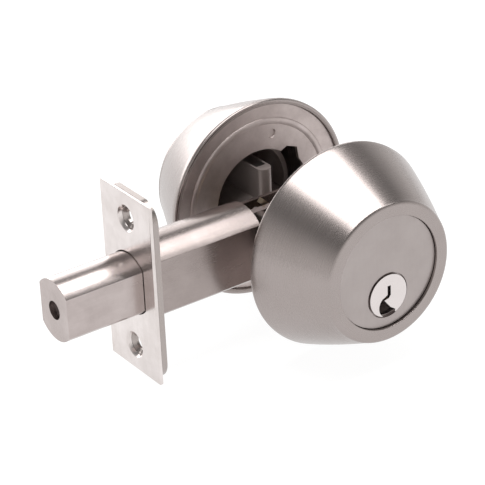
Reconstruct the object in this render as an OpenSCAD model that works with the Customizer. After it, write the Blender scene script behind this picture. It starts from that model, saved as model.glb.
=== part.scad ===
// Double-cylinder tubular deadbolt. Millimetres, +Z up.
// Origin: the middle of the back plate's rear face, its seat in the door's edge, on the bolt's axis.
// The bolt is thrown towards -X, the exterior cylinder faces -Y and the interior one +Y.

/* [Door] */
// Backset, from the door edge to the cross axis
backset = 60.3; // [60.3:0.1:70]
// Door thickness between the two collars
door_t = 38.1; // [38.1:0.1:39]

/* [Bolt] */
// Throw of the bolt out of the door edge
throw = 25.4; // [25:0.1:25.4]
// Radius of the bolt's round top and bottom
bolt_r = 9.5; // [9:0.1:9.6]
// Width across the bolt's flat sides
bolt_w = 14.4; // [14:0.1:14.6]
// Length of the bolt bar
bolt_len = 39.5; // [38:0.5:40]
// Outside radius of the bolt case
case_r = 12; // [11.9:0.1:12.4]
// Width across the bolt case's flat sides
case_w = 17.2; // [17.2:0.1:17.6]
// Sheet thickness of the bolt case
case_t = 1.2; // [1:0.1:1.3]

/* [Faceplate] */
// Faceplate height
plate_h = 57.15; // [56:0.05:58]
// Faceplate width
plate_w = 25.4; // [25:0.1:26]
// Faceplate thickness
face_t = 1.1; // [1:0.1:1.3]
// Back plate thickness
back_t = 1.8; // [1.6:0.1:2]
// Corner radius of the back plate
back_corner = 6.35; // [3:0.05:7]
// Distance between the two screw holes
screw_pitch = 41.3; // [41:0.1:42]
// Radius of a screw hole
screw_hole_r = 2.3; // [2.1:0.1:2.4]
// Radius of a screw hole's countersink at the face
screw_sink_r = 4.2; // [3.9:0.1:4.3]

/* [Collar] */
// Outside radius of a collar where it meets the door
collar_r = 31.8; // [31:0.1:33]
// Outside radius of a collar at its face
collar_face_r = 22.1; // [21.5:0.1:22.5]
// How far a collar stands off the door
collar_len = 24.3; // [24:0.05:25]
// How far the collar's side swells out of a straight cone
collar_swell = 0.35; // [0:0.05:0.6]

/* [Cylinder] */
// Radius of the cylinder's front disc
disc_r = 17.5; // [17:0.1:17.6]
// Drop of the plug's axis below the bolt's axis
plug_drop = 7.5; // [7.4:0.1:7.6]
// Radius of the plug
plug_r = 6.5; // [6.4:0.05:6.5]
// Number of pin stacks
pins = 5; // [3:1:5]
// Distance between two pin stacks
pin_pitch = 3.81; // [3.8:0.01:3.85]

/* [Hidden] */

$fn = 96;
eps = 0.01;
gap = 0.05;

// Stations along the bolt; the cross axis lies one backset behind the faceplate's front
face_x0 = -face_t - back_t;
cross_x = backset + face_x0;
case_x0 = -back_t;
case_x1 = cross_x + 24.5;
roof_x1 = cross_x - 20;
bolt_x0 = face_x0 - throw;
bolt_x1 = bolt_x0 + bolt_len;
channel_z = 7.4;

// Crank: the drive pin stays one half throw above the cam's axis
arm_drop = throw / 2;
pin_x = cross_x - throw / 2;
pin_z = arm_drop - plug_drop;
drive_r = 1.6;
hub_r = 3;
arm_w = 8.8;
arm_len = 20;
arm_slot_w = 5.6;
arm_slot_r = 10.4;
cheek_y0 = 2;
cheek_y1 = 4;
tail_t = 2.4;
tail_x0 = bolt_x1 - 8;
tail_z0 = pin_z - 2.2;
tail_z1 = 8.4;

// Spacer that holds the open end of the case
spacer_x = case_x1 - 3.5;
spacer_r = 1.5;

// Through bolts
stud_x = 11.3;
stud_z = -6;
stud_r = 2;
stud_thread = 16;
head_sink = 2.6;
stem_r = 3;
stem_h = door_t / 2 + 3;

// Stations out from the middle of the door, the same on both sides
rim_h = door_t / 2;
front_h = rim_h + collar_len;
disc_h = front_h - 1;
ledge_h = disc_h - 1.65;
plug_h = disc_h + 0.4;
barrel_h = 17.5;
can_h = 27;
can_r = 15.9;
can_t = 1.5;
ring_bore = 15.4;
barrel_r = plug_r + 2.1;
chamber_w = 4.8;
chamber_z = 11.2;
spring_z1 = 10.3;
cover_t = 0.9;
plug_axis = [0, 0, -plug_drop];
shear_z = plug_r - plug_drop;
pin_r = 1.4;
driver_z1 = 4.2;
clip_h = 16.6;
cup_h = 10.9;
tail_h = 11.6;
lug_h = 12.8;
blade_h = 0.8;
blade_t = 1.5;
blade_w = 4.2;

// ---- helpers ----

// A round bar along Y between two stations
module rod_y(r, y0, y1) {
    translate([0, y0, 0])
        rotate([-90, 0, 0])
            cylinder(r = r, h = y1 - y0);
}

// A round bar along X between two stations
module rod_x(r, x0, x1) {
    translate([x0, 0, 0])
        rotate([0, 90, 0])
            cylinder(r = r, h = x1 - x0);
}

// A flat outline in X and Z, made solid between two stations on Y
module along_y(y0, y1) {
    translate([0, y1, 0])
        rotate([90, 0, 0])
            linear_extrude(y1 - y0)
                children();
}

// A flat outline in Y and Z, made solid between two stations on X
module along_x(x0, x1) {
    translate([x0, 0, 0])
        rotate([90, 0, 90])
            linear_extrude(x1 - x0)
                children();
}

// An outline of [radius, station] points turned about the Y axis
module turned(points) {
    rotate([-90, 0, 0])
        rotate_extrude($fn = 180)
            polygon(points);
}

// Part of a ring about the Y axis; angles run from +Z towards +X
module ring_part(r0, r1, y0, y1, a0, a1) {
    rotate([-90, 0, 0])
        rotate([0, 0, a0 - 90])
            rotate_extrude(angle = a1 - a0)
                translate([r0, y0])
                    square([r1 - r0, y1 - y0]);
}

// Points of an arc
function arc(cx, cy, r, a0, a1, steps) = [
    for (i = [0:steps])
        let (a = a0 + (a1 - a0) * i / steps) [cx + r * cos(a), cy + r * sin(a)]
];

// A circle with its two sides cut flat
module flatted(r, w) {
    intersection() {
        circle(r = r);
        square([w, 3 * r], center = true);
    }
}

module at_cross_axis() {
    translate([cross_x, 0, 0])
        children();
}

// Side -1 is the exterior, side 1 the interior
module facing(side) {
    mirror([0, side < 0 ? 1 : 0, 0])
        children();
}

// A cylinder's own parts, laid out about the cross axis
module on_side(side) {
    at_cross_axis()
        facing(side)
            children();
}

module at_pins() {
    for (i = [0:pins - 1])
        translate([0, plug_h - 5.6 - i * pin_pitch, 0])
            children();
}

module at_studs() {
    for (x = [-stud_x, stud_x])
        translate([x, 0, stud_z])
            children();
}

// ---- faceplate and case ----

module plate_outline(corner) {
    if (corner > 0)
        for (sy = [-1, 1], sz = [-1, 1])
            translate([sy * (plate_w / 2 - corner), sz * (plate_h / 2 - corner)])
                circle(r = corner);
    square([plate_w, plate_h - 2 * corner], center = true);
    square([plate_w - 2 * corner, plate_h], center = true);
}

module screw_holes() {
    sink_depth = face_t + back_t / 2;
    for (z = [-1, 1] * screw_pitch / 2)
        translate([face_x0, 0, z]) {
            rod_x(screw_hole_r, -1, 1 - face_x0);
            rotate([0, 90, 0])
                cylinder(r1 = screw_sink_r, r2 = screw_hole_r, h = sink_depth);
        }
}

// A plate with its screw holes and a flat-sided window, as its children outline it
module plate(x0, x1, corner) {
    difference() {
        along_x(x0, x1)
            plate_outline(corner);
        along_x(x0 - 1, x1 + 1)
            children();
        screw_holes();
    }
}

module faceplate() {
    color("silver")
        plate(face_x0, case_x0, 0)
            flatted(bolt_r + 0.25, bolt_w + 0.5);
}

module back_plate() {
    color("darkgray")
        plate(case_x0, 0, back_corner)
            flatted(case_r + gap, case_w + 2 * gap);
}

module bolt_case() {
    inner_w = case_w - 2 * case_t;
    ear_x = 7;
    ear_z = -plug_drop - 4.3;
    color("rosybrown")
        difference() {
            union() {
                difference() {
                    along_x(case_x0, case_x1)
                        flatted(case_r, case_w);
                    along_x(case_x0 - 1, case_x1 + 1)
                        flatted(case_r - case_t, inner_w);
                    translate([roof_x1, -case_r, channel_z])
                        cube([case_x1 - roof_x1 + 1, 2 * case_r, case_r]);
                    translate([cross_x - ear_x, -case_r, -case_r - 1])
                        cube([2 * ear_x, 2 * case_r, case_r - 4]);
                }
                for (y = [-case_w / 2, inner_w / 2])
                    translate([cross_x - ear_x, y, ear_z])
                        cube([2 * ear_x, case_t, -ear_z]);
            }
            at_cross_axis() {
                translate(plug_axis)
                    rod_y(hub_r + gap, -case_r, case_r);
                at_studs()
                    rod_y(stud_r + 0.3, -case_r, case_r);
            }
            translate([spacer_x, 0, 0])
                rod_y(spacer_r + gap, -case_r, case_r);
        }
}

module case_spacer() {
    head_r = 2.4;
    head_y = case_w / 2 + 0.6;
    color("gray")
        translate([spacer_x, 0, 0]) {
            rod_y(spacer_r, -head_y, head_y);
            rod_y(head_r, case_w / 2, head_y);
            rod_y(head_r, -head_y, -case_w / 2);
        }
}

// ---- bolt ----

roller_r = 2.82;
roller_in = 1.5;
roller_len = 24;
rivet_x = [tail_x0 + 2.2, bolt_x1 - 2];
rivet_z = (tail_z0 + tail_z1) / 2 - 0.9;
rivet_r = 1.1;

module at_tail_rivets() {
    for (x = rivet_x)
        translate([x, 0, rivet_z])
            children();
}

module bolt_bar() {
    slot_w = tail_t + 0.1;
    color("rosybrown")
        difference() {
            along_x(bolt_x0, bolt_x1)
                flatted(bolt_r, bolt_w);
            rod_x(roller_r + gap, bolt_x0 - 1, bolt_x0 + roller_in + roller_len + gap);
            translate([tail_x0 - 0.2, -slot_w / 2, tail_z0 - 0.1])
                cube([bolt_x1 - tail_x0 + 1, slot_w, bolt_r]);
            at_tail_rivets()
                rod_y(rivet_r + gap, -bolt_w, bolt_w);
        }
}

module bolt_roller() {
    color("dimgray")
        rod_x(roller_r, bolt_x0 + roller_in, bolt_x0 + roller_in + roller_len);
}

module bolt_tail() {
    color("lightgray")
        difference() {
            translate([tail_x0, -tail_t / 2, tail_z0])
                cube([pin_x + 3.1 - tail_x0, tail_t, tail_z1 - tail_z0]);
            at_tail_rivets()
                rod_y(rivet_r + gap, -tail_t, tail_t);
            translate([pin_x, 0, pin_z])
                rod_y(drive_r + gap / 2, -tail_t, tail_t);
        }
}

module tail_rivets() {
    color("gray")
        at_tail_rivets()
            rod_y(rivet_r, 0.2 - bolt_w / 2, bolt_w / 2 - 0.2);
}

module drive_pin() {
    color("gray")
        translate([pin_x, 0, pin_z])
            rod_y(drive_r, -cheek_y1 - 0.4, cheek_y1 + 0.4);
}

module arm_outline() {
    difference() {
        union() {
            circle(r = arm_w / 2);
            translate([-arm_w / 2, 0])
                square([arm_w, arm_len]);
        }
        translate([-arm_slot_w / 2, arm_slot_r])
            square([arm_slot_w, arm_len]);
    }
}

module cam() {
    hub_y = case_w / 2 - 0.2;
    color("goldenrod")
        translate([cross_x, 0, -plug_drop])
            difference() {
                union() {
                    rod_y(hub_r, -hub_y, hub_y);
                    rotate([0, -45, 0])
                        for (side = [-1, 1])
                            facing(side)
                                along_y(cheek_y0, cheek_y1)
                                    arm_outline();
                }
                cube([blade_t + 0.2, 2 * case_w, blade_w + 0.2], center = true);
            }
}

// ---- collar and its backing ring ----

rebate_r = collar_r - 1.6;
rebate_h = rim_h + 2.3;

module collar(side) {
    lip = 0.5;
    edge = 1.3;
    steps = 6;
    side_h0 = rim_h + 1.2;
    side_h1 = front_h - edge;
    side_pts = [
        for (i = [0:steps])
            let (t = i / steps)
            [
                collar_r + (collar_face_r - collar_r) * t + 4 * collar_swell * t * (1 - t),
                side_h0 + (side_h1 - side_h0) * t
            ]
    ];
    points = concat(
        arc(collar_r - lip, rim_h + lip, lip, -90, 0, 4),
        side_pts,
        arc(collar_face_r - edge, front_h - edge, edge, 20, 90, 5),
        [
            [disc_r + 0.2, front_h], [disc_r + 0.2, ledge_h], [can_r + 0.2, ledge_h],
            [can_r + 0.2, ledge_h - 1.6], [collar_face_r - 0.5, ledge_h - 1.6],
            [rebate_r - 0.9, rebate_h], [rebate_r, rebate_h], [rebate_r, rim_h]
        ]
    );
    on_side(side)
        turned(points);
}

module backing_ring(side) {
    ring_h = rim_h + 1;
    bead_h = ring_h - 0.5;
    notch = [
        [8, 12.5], [10.9, 13.9], [14.7, 12.5], [15.4, 8.3], [16.8, 6.1], [16.8, -6.1], [10, -6.1]
    ];
    on_side(side)
        difference() {
            turned([
                [ring_bore, ring_h], [23.6, ring_h], [23.9, bead_h], [25.4, bead_h], [25.7, ring_h],
                [rebate_r - gap, ring_h], [rebate_r - gap, rebate_h], [ring_bore, rebate_h]
            ]);
            along_y(ring_h - 1, rebate_h + 1)
                polygon(notch);
            translate([5.5, 0, 19.7])
                rod_y(1.7, ring_h - 1, ring_h + 0.5);
        }
}

module ext_collar() {
    color("silver")
        collar(-1);
}

module int_collar() {
    color("silver")
        collar(1);
}

module ext_backing_ring() {
    color("rosybrown")
        backing_ring(-1);
}

module int_backing_ring() {
    color("rosybrown")
        backing_ring(1);
}

// ---- cylinder ----

// Square-topped chamber over the plug, with a round end that overhangs the plug's clip
module chamber() {
    overhang_z = 1.4;
    translate([-chamber_w / 2, barrel_h, -plug_drop])
        cube([chamber_w, ledge_h + 1 - barrel_h, chamber_z + plug_drop]);
    translate([0, barrel_h, overhang_z])
        cylinder(d = chamber_w, h = chamber_z - overhang_z);
}

// The interior cylinder's stems are drilled through for the bolts, the exterior one's are tapped
module cylinder_body(side) {
    on_side(side)
        difference() {
            union() {
                rod_y(disc_r, ledge_h + gap, disc_h);
                difference() {
                    rod_y(can_r, can_h, ledge_h + 1);
                    rod_y(can_r - can_t, can_h - 1, ledge_h + gap);
                }
                chamber();
                intersection() {
                    rod_y(ring_bore - 0.3, barrel_h, ledge_h + 1);
                    translate(plug_axis)
                        rod_y(barrel_r, barrel_h, ledge_h + 1);
                }
                at_studs()
                    rod_y(stem_r, stem_h, ledge_h + 1);
            }
            translate(plug_axis) {
                rod_y(plug_r + gap, barrel_h - 1, disc_h + 1);
                rod_y(plug_r + 0.65, disc_h - 0.9, disc_h + 1);
            }
            at_pins()
                translate([0, 0, -plug_drop])
                    cylinder(r = pin_r + gap, h = spring_z1 + plug_drop + 1);
            translate([-1.75, barrel_h + 1, spring_z1])
                cube([3.5, plug_h - barrel_h - 3, 3]);
            if (side > 0)
                at_studs() {
                    rod_y(stud_r + 0.3, rim_h, disc_h + 1);
                    rod_y(3.6, disc_h - head_sink, disc_h + 1);
                }
            else
                at_studs()
                    rod_y(stud_r + gap, rim_h, rim_h + stud_thread + 1);
        }
}

module ext_cylinder() {
    color("silver")
        cylinder_body(-1);
}

module int_cylinder() {
    color("silver")
        cylinder_body(1);
}

module chamber_cover(side) {
    on_side(side)
        translate([-1.7, barrel_h + 1 + gap, spring_z1])
            cube([3.4, plug_h - barrel_h - 3.3, cover_t]);
}

module ext_chamber_cover() {
    color("goldenrod")
        chamber_cover(-1);
}

module int_chamber_cover() {
    color("goldenrod")
        chamber_cover(1);
}

// Keyway: a narrow slot that steps sideways and widens to the bottom of the plug
module keyway_outline() {
    polygon(concat(
        [
            [-0.3, 3.1], [0.85, 2.9], [0.85, 0], [0.1, -0.9], [-1.5, -1.2],
            [0.7, -4], [2.4, -5.2], [2.4, -7.5], [-2.4, -7.5]
        ],
        arc(0.3, -3.4, 3.75, 220, 135, 6),
        [[-0.3, 0.3]]
    ));
}

// The lug behind the plug pushes the tailpiece's lug, and may turn half a turn away from it
module plug(side) {
    on_side(side)
        translate(plug_axis)
            difference() {
                union() {
                    rod_y(plug_r, clip_h - 0.1, plug_h);
                    rod_y(plug_r + 0.15, disc_h - 0.7, plug_h);
                    rod_y(plug_r - 0.9, clip_h - 1.4, clip_h);
                    ring_part(2.6, 5.2, lug_h + 0.2, clip_h - 1, 0, 28);
                }
                along_y(clip_h + 1.2, plug_h + 1)
                    keyway_outline();
                at_pins()
                    cylinder(r = pin_r + gap, h = plug_r + 1);
                difference() {
                    rod_y(plug_r + 1, clip_h - gap, clip_h + 0.85);
                    rod_y(plug_r - 1.3, clip_h - 1, clip_h + 1);
                }
            }
}

module ext_plug() {
    color("gainsboro")
        plug(-1);
}

module int_plug() {
    color("gainsboro")
        plug(1);
}

module plug_clip(side) {
    on_side(side)
        translate(plug_axis)
            ring_part(plug_r - 1.2, plug_r + 0.9, clip_h, clip_h + 0.8, 30, 330);
}

module ext_plug_clip() {
    color("dimgray")
        plug_clip(-1);
}

module int_plug_clip() {
    color("dimgray")
        plug_clip(1);
}

module driver_cup(side) {
    on_side(side)
        translate(plug_axis)
            turned([
                [2.6, cup_h], [plug_r - 0.1, cup_h], [plug_r - 0.1, clip_h - 0.3],
                [plug_r - 0.85, clip_h - 0.3], [plug_r - 0.85, cup_h + 0.6], [2.6, cup_h + 0.6]
            ]);
}

module ext_driver_cup() {
    color("goldenrod")
        driver_cup(-1);
}

module int_driver_cup() {
    color("goldenrod")
        driver_cup(1);
}

module tailpiece(side) {
    on_side(side)
        translate(plug_axis) {
            translate([-blade_t / 2, blade_h, -blade_w / 2])
                cube([blade_t, tail_h - blade_h + eps, blade_w]);
            rod_y(plug_r - 1.1, tail_h, lug_h);
            ring_part(2.6, 5.2, lug_h - eps, lug_h + 2.1, 30, 58);
        }
}

module ext_tailpiece() {
    color("slategray")
        tailpiece(-1);
}

module int_tailpiece() {
    color("slategray")
        tailpiece(1);
}

module key_pins(side) {
    top_z = shear_z - 0.2;
    on_side(side)
        at_pins() {
            translate([0, 0, top_z - 4])
                cylinder(r = pin_r, h = 4);
            translate([0, 0, top_z - 4.7])
                cylinder(r1 = 0.6, r2 = pin_r, h = 0.7 + eps);
        }
}

module ext_key_pins() {
    color("goldenrod")
        key_pins(-1);
}

module int_key_pins() {
    color("goldenrod")
        key_pins(1);
}

module driver_pins(side) {
    on_side(side)
        at_pins()
            translate([0, 0, shear_z + gap])
                cylinder(r = pin_r, h = driver_z1 - shear_z - gap);
}

module ext_driver_pins() {
    color("silver")
        driver_pins(-1);
}

module int_driver_pins() {
    color("silver")
        driver_pins(1);
}

coil_r = 1.1;
wire_r = 0.18;
coil_turns = 6;
coil_steps = 48;

// A wire of square section wound into a coil about Z
module coil(z0, z1) {
    sides = 4;
    points = [
        for (i = [0:coil_steps], k = [0:sides - 1])
            let (
                a = 360 * coil_turns * i / coil_steps,
                b = 360 * k / sides,
                r = coil_r + wire_r * cos(b)
            )
            [r * cos(a), r * sin(a), z0 + (z1 - z0) * i / coil_steps + wire_r * sin(b)]
    ];
    walls = [
        for (i = [0:coil_steps - 1], k = [0:sides - 1])
            let (j = (k + 1) % sides)
            [i * sides + k, (i + 1) * sides + k, (i + 1) * sides + j, i * sides + j]
    ];
    first = [for (k = [0:sides - 1]) k];
    last = [for (k = [sides - 1:-1:0]) coil_steps * sides + k];
    polyhedron(points, concat(walls, [first, last]), convexity = 8);
}

module springs(side) {
    on_side(side)
        at_pins()
            coil(driver_z1 + wire_r, spring_z1 - wire_r);
}

module ext_springs() {
    color("gray")
        springs(-1);
}

module int_springs() {
    color("gray")
        springs(1);
}

// ---- through bolts ----

module through_bolts() {
    head_r = 3.2;
    head_h = 2.2;
    head_y = disc_h - head_sink;
    cross = 0.9;
    cross_l = 4.4;
    color("gray")
        at_cross_axis()
            at_studs()
                difference() {
                    union() {
                        rod_y(stud_r, -rim_h - stud_thread, head_y + gap);
                        rod_y(head_r, head_y, head_y + head_h);
                    }
                    translate([0, head_y + head_h, 0]) {
                        cube([cross_l, head_h, cross], center = true);
                        cube([cross, head_h, cross_l], center = true);
                    }
                }
}

faceplate();
back_plate();
bolt_case();
case_spacer();
bolt_bar();
bolt_roller();
bolt_tail();
tail_rivets();
drive_pin();
cam();
ext_collar();
ext_backing_ring();
ext_cylinder();
ext_chamber_cover();
ext_plug();
ext_plug_clip();
ext_driver_cup();
ext_tailpiece();
ext_key_pins();
ext_driver_pins();
ext_springs();
int_collar();
int_backing_ring();
int_cylinder();
int_chamber_cover();
int_plug();
int_plug_clip();
int_driver_cup();
int_tailpiece();
int_key_pins();
int_driver_pins();
int_springs();
through_bolts();
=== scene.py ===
"""Double-cylinder deadbolt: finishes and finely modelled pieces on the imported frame."""
import logging
import math
from dataclasses import dataclass
from enum import Enum
from typing import Sequence, Union

import bpy
from mathutils import Matrix, Vector


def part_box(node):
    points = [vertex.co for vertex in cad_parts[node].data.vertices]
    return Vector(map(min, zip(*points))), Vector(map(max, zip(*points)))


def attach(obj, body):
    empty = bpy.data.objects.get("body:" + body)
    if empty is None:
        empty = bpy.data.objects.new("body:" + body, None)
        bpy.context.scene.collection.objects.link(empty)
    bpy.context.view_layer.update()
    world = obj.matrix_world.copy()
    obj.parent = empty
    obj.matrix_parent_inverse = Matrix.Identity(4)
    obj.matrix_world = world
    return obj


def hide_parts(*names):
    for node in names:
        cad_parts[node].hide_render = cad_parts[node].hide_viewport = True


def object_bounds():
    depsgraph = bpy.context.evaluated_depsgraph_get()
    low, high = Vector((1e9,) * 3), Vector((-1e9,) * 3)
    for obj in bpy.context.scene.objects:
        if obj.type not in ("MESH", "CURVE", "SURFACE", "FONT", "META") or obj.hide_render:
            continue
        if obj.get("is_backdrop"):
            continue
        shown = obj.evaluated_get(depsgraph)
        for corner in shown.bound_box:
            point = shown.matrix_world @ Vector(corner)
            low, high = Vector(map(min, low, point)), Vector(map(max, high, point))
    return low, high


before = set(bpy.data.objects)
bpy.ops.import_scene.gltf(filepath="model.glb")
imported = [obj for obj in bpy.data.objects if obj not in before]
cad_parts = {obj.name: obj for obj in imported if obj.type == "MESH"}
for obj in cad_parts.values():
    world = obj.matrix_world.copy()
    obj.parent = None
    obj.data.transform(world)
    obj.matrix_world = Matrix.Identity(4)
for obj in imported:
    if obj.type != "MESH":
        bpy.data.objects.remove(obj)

LOG = logging.getLogger("deadbolt")
MM = 0.001
BOX_SLACK = 0.0003  # how far a piece's box may be from its node's, in metres
TAPER = 0.4  # how fast a collar narrows towards its face

Point = tuple[float, float, float]
Profile = list[tuple[float, float]]
Input = Union["Value", float, Sequence[float]]


class Axis(Enum):
    """The row axis that a bar lies along, with the turn that lays a Z bar on it."""

    X = (0.0, math.pi / 2, 0.0)
    Y = (-math.pi / 2, 0.0, 0.0)
    Z = (0.0, 0.0, 0.0)


class Side(Enum):
    """The two cylinders: the sign of their outward Y and their nodes' prefix."""

    EXTERIOR = (-1, "ext")
    INTERIOR = (1, "int")

    @property
    def sign(self) -> int:
        """Outward direction on Y."""
        return self.value[0]

    def node(self, piece: str) -> str:
        """The CAD node of this side's piece."""
        return f"{self.value[1]}_{piece}"

    def body(self, group: str) -> str:
        """The CAD body of this side's group."""
        return f"{self.value[1]}_{group}"


class Grain(Enum):
    """Which way a finish's fine lines run."""

    ROUND = "round the cross axis"
    UPRIGHT = "up and down"
    LENGTHWISE = "along the bolt"
    CAST = "no direction"


# ---- shader building ----


class Value:
    """One output socket of a material's node, with arithmetic that adds Math nodes."""

    def __init__(self, board: "Board", socket: bpy.types.NodeSocket) -> None:
        """Wraps a socket of a board."""
        self.board = board
        self.socket = socket

    def math(self, operation: str, *others: Input) -> "Value":
        """A Math node of this value and others."""
        inputs = dict(enumerate((self, *others)))
        return self.board.node("ShaderNodeMath", {"operation": operation}, inputs)

    def __add__(self, other: Input) -> "Value":
        """self + other."""
        return self.math("ADD", other)

    def __mul__(self, other: Input) -> "Value":
        """self * other."""
        return self.math("MULTIPLY", other)

    def __sub__(self, other: Input) -> "Value":
        """self - other."""
        return self.math("SUBTRACT", other)

    def __truediv__(self, other: Input) -> "Value":
        """self / other."""
        return self.math("DIVIDE", other)

    def __rsub__(self, other: float) -> "Value":
        """other - self."""
        return self.math("MULTIPLY_ADD", -1.0, other)

    __radd__ = __add__
    __rmul__ = __mul__


class Board:
    """The node tree of one new material."""

    def __init__(self, name: str) -> None:
        """Starts an empty material."""
        self.material = bpy.data.materials.new(name)
        self.material.use_nodes = True
        self.tree = self.material.node_tree
        self.tree.nodes.clear()

    def node(self, kind: str, settings: dict | None = None, inputs: dict | None = None,
             output: Union[int, str] = 0) -> Value:
        """Adds any node.

        Args:
            kind: the node's type.
            settings: attributes that are set first; "stops" fills a colour ramp.
            inputs: a value or a link for each named or numbered socket.
            output: which output to return.

        Returns:
            The wrapped output.
        """
        made = self.tree.nodes.new(kind)
        for key, value in (settings or {}).items():
            if key == "stops":
                self._ramp(made, value)
            else:
                setattr(made, key, value)
        for key, value in (inputs or {}).items():
            if isinstance(value, Value):
                self.tree.links.new(value.socket, made.inputs[key])
            else:
                made.inputs[key].default_value = value
        return Value(self, made.outputs[output])

    @staticmethod
    def _ramp(made: bpy.types.Node, stops: Sequence[tuple[float, float]]) -> None:
        """Fills a colour ramp with grey stops of (place, level)."""
        elements = made.color_ramp.elements
        while len(elements) < len(stops):
            elements.new(0.5)
        for element, (place, level) in zip(elements, stops):
            element.position = place
            element.color = (level, level, level, 1.0)

    def surface(self, shader: Value) -> bpy.types.Material:
        """Joins a shader to the material's output.

        Args:
            shader: the shader to show.

        Returns:
            The finished material.
        """
        output = self.tree.nodes.new("ShaderNodeOutputMaterial")
        self.tree.links.new(shader.socket, output.inputs["Surface"])
        return self.material

    def mix(self, factor: Input, first: Input, second: Input) -> Value:
        """A colour between two colours."""
        names = {0: factor, 6: first, 7: second}
        return self.node("ShaderNodeMix", {"data_type": "RGBA"}, names, output=2)

    def noise(self, vector: Value, scale: float, detail: float = 3.0,
              roughness: float = 0.55) -> Value:
        """Noise from 0 to 1 on a vector in millimetres."""
        inputs = {"Vector": vector, "Scale": scale, "Detail": detail, "Roughness": roughness}
        return self.node("ShaderNodeTexNoise", {"noise_dimensions": "3D"}, inputs)


@dataclass(frozen=True)
class Finish:
    """A metal finish with brushing or cast texture, mottle and a fine bump."""

    name: str
    slot: str
    colour: Point
    roughness: float
    grain: Grain = Grain.CAST
    tint: Point = (0.42, 0.36, 0.33)
    tint_share: float = 0.25
    streaks: float = 0.10
    line_mm: float = 0.16
    bump_mm: float = 0.012
    mottle_mm: float = 9.0
    mottle: float = 0.06
    # Painted shade: inner surfaces, lower than a height off the door's middle and below a taper
    # level, take a darker, less metallic colour that stands in for the shade inside the lock.
    painted_shade_within: float = 0.0
    painted_shade_under: float = 0.0
    painted_shade_colour: Point = (0.34, 0.29, 0.275)
    painted_shade_metal: float = 0.35

    def _place(self, board: Board, cross_x: float) -> tuple[Value, Value, Value, Value]:
        """The point on the piece, that point along the grain, its |Y| and its taper level."""
        coords = board.node("ShaderNodeTexCoord", output="Object")
        shift = board.node("ShaderNodeMapping", {"vector_type": "POINT"},
                           {"Vector": coords, "Location": (-cross_x / MM, 0.0, 0.0),
                            "Scale": (1 / MM, 1 / MM, 1 / MM)})
        split = board.node("ShaderNodeSeparateXYZ", inputs={0: shift})
        x, y, z = (Value(board, s) for s in split.socket.node.outputs)
        height = y.math("ABSOLUTE")
        reach = (x * x + z * z).math("SQRT")
        along = 0.02
        if self.grain is Grain.UPRIGHT:
            parts = (x, y, z * along)
        elif self.grain is Grain.LENGTHWISE:
            parts = (x * along, y, z)
        elif self.grain is Grain.ROUND:
            parts = (reach - height, x / reach * 0.6, z / reach * 0.6)
        else:
            parts = (x, y, z)
        stretched = board.node("ShaderNodeCombineXYZ", inputs=dict(enumerate(parts)))
        return shift, stretched, height, reach + height * TAPER

    def material(self, cross_x: float) -> bpy.types.Material:
        """Builds the finish.

        Args:
            cross_x: the cross axis's X in metres, which a round grain turns about.

        Returns:
            The new material.
        """
        board = Board(self.name)
        point, stretched, height_y, level = self._place(board, cross_x)
        lines = board.noise(stretched, 1 / self.line_mm, 2.0)
        bands = board.noise(stretched, 0.2 / self.line_mm, 4.0, 0.6)
        cloud = board.noise(point, 1 / self.mottle_mm, 4.0, 0.6)
        speck = board.noise(point, 3.2, 3.0, 0.65)
        streak = lines * 0.45 + bands * 0.35 + speck * 0.2
        soft = {"stops": [(0.32, 0.0), (0.68, 1.0)]}
        worn = board.node("ShaderNodeValToRGB", soft, {0: cloud})
        share = worn * self.tint_share + (streak - 0.5) * self.tint_share
        base = board.mix(share, (*self.colour, 1.0), (*self.tint, 1.0))
        metal: Input = 1.0
        # Painted shade: the inner surfaces take the darker, less metallic colour; the front keeps
        # the finish's own colour.
        if self.painted_shade_within:
            front = height_y.math("GREATER_THAN", self.painted_shade_within)
            if self.painted_shade_under:
                front = front.math("MAXIMUM", level.math("GREATER_THAN", self.painted_shade_under))
            base = board.mix(front, (*self.painted_shade_colour, 1.0), base)
            metal = front * (1 - self.painted_shade_metal) + self.painted_shade_metal
        rough = self.roughness + (streak - 0.5) * (2 * self.streaks) + (cloud - 0.5) * self.mottle
        height = lines * 0.55 + bands * 0.3 + speck * 0.15
        bump = board.node("ShaderNodeBump", inputs={
            "Strength": 0.6, "Distance": self.bump_mm * MM, "Height": height})
        shader = board.node("ShaderNodeBsdfPrincipled", inputs={
            "Base Color": base, "Metallic": metal, "Roughness": rough.math("MAXIMUM", 0.05),
            "Normal": bump})
        return board.surface(shader)


NICKEL = (0.375, 0.332, 0.319)
# The collar and the disc carry painted shade: their inner surfaces, below the height and taper
# limits given here, take a darker, duller colour.
COLLAR = Finish("satin_nickel", "satin_nickel", NICKEL, 0.27, Grain.ROUND,
                tint=(0.30, 0.25, 0.24), tint_share=0.2, streaks=0.06, bump_mm=0.007,
                painted_shade_within=40.5, painted_shade_under=38.6)
DISC = Finish("satin_nickel_disc", "satin_nickel_disc", (0.41, 0.366, 0.354), 0.36, Grain.UPRIGHT,
              tint=(0.30, 0.26, 0.25), tint_share=0.3, streaks=0.08, painted_shade_within=40.0)
PLUG = Finish("plug_nickel", "plug_nickel", (0.70, 0.65, 0.64), 0.26, Grain.ROUND,
              tint_share=0.08, streaks=0.05, line_mm=0.1)
BACKING = Finish("backing_metal", "backing_metal", (0.62, 0.545, 0.525), 0.48, Grain.CAST,
                 tint=(0.42, 0.355, 0.34), tint_share=0.6, bump_mm=0.03, mottle_mm=6.0)
PLATE = Finish("plate_steel", "plate_steel", (0.76, 0.705, 0.69), 0.22, Grain.UPRIGHT,
               tint_share=0.35, streaks=0.06, mottle=0.05)
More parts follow.
